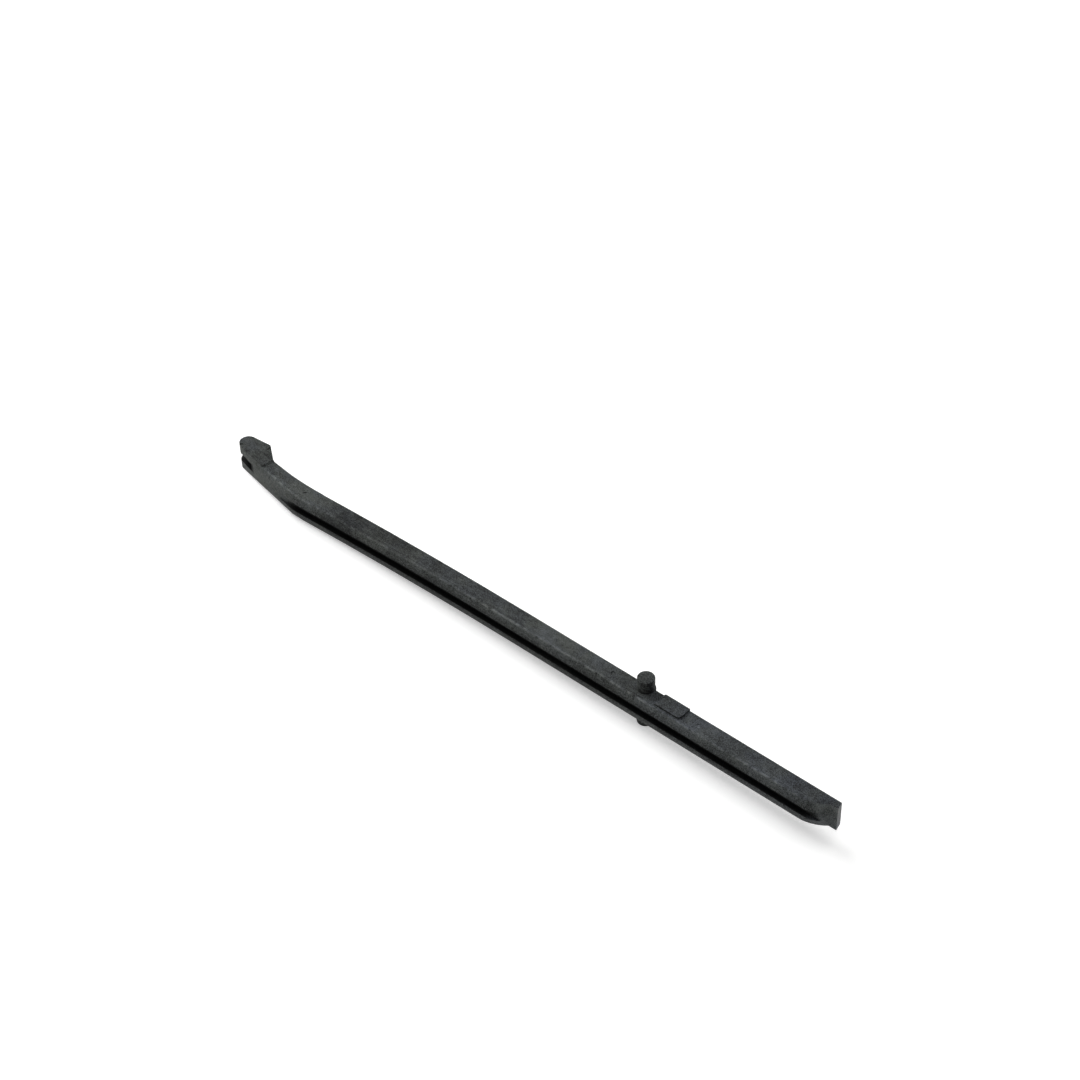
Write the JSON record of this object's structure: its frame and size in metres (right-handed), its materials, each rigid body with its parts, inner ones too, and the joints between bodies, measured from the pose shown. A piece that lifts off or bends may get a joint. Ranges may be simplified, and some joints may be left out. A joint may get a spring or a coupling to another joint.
{
  "type": "timing chain guide",
  "caption": "Long fixed guide rail for an engine timing chain: grooved chain side, tapered toe, through locating pin and a forked hook head.",
  "frame": {"origin": "middle of the through locating pin, on its axis and half way across the rail's width", "axes": "+X along the straight half of the rail towards the toe, +Y towards the back face, +Z along the locating pin; the chain side faces -Y"},
  "size_m": [0.2313, 0.0118, 0.0176],
  "materials": {
    "moulding": "dull moulded black with grey rubbed edges"
  },
  "bodies": {
    "root": {"guide_rail": "moulding"}
  },
  "joints": []
}
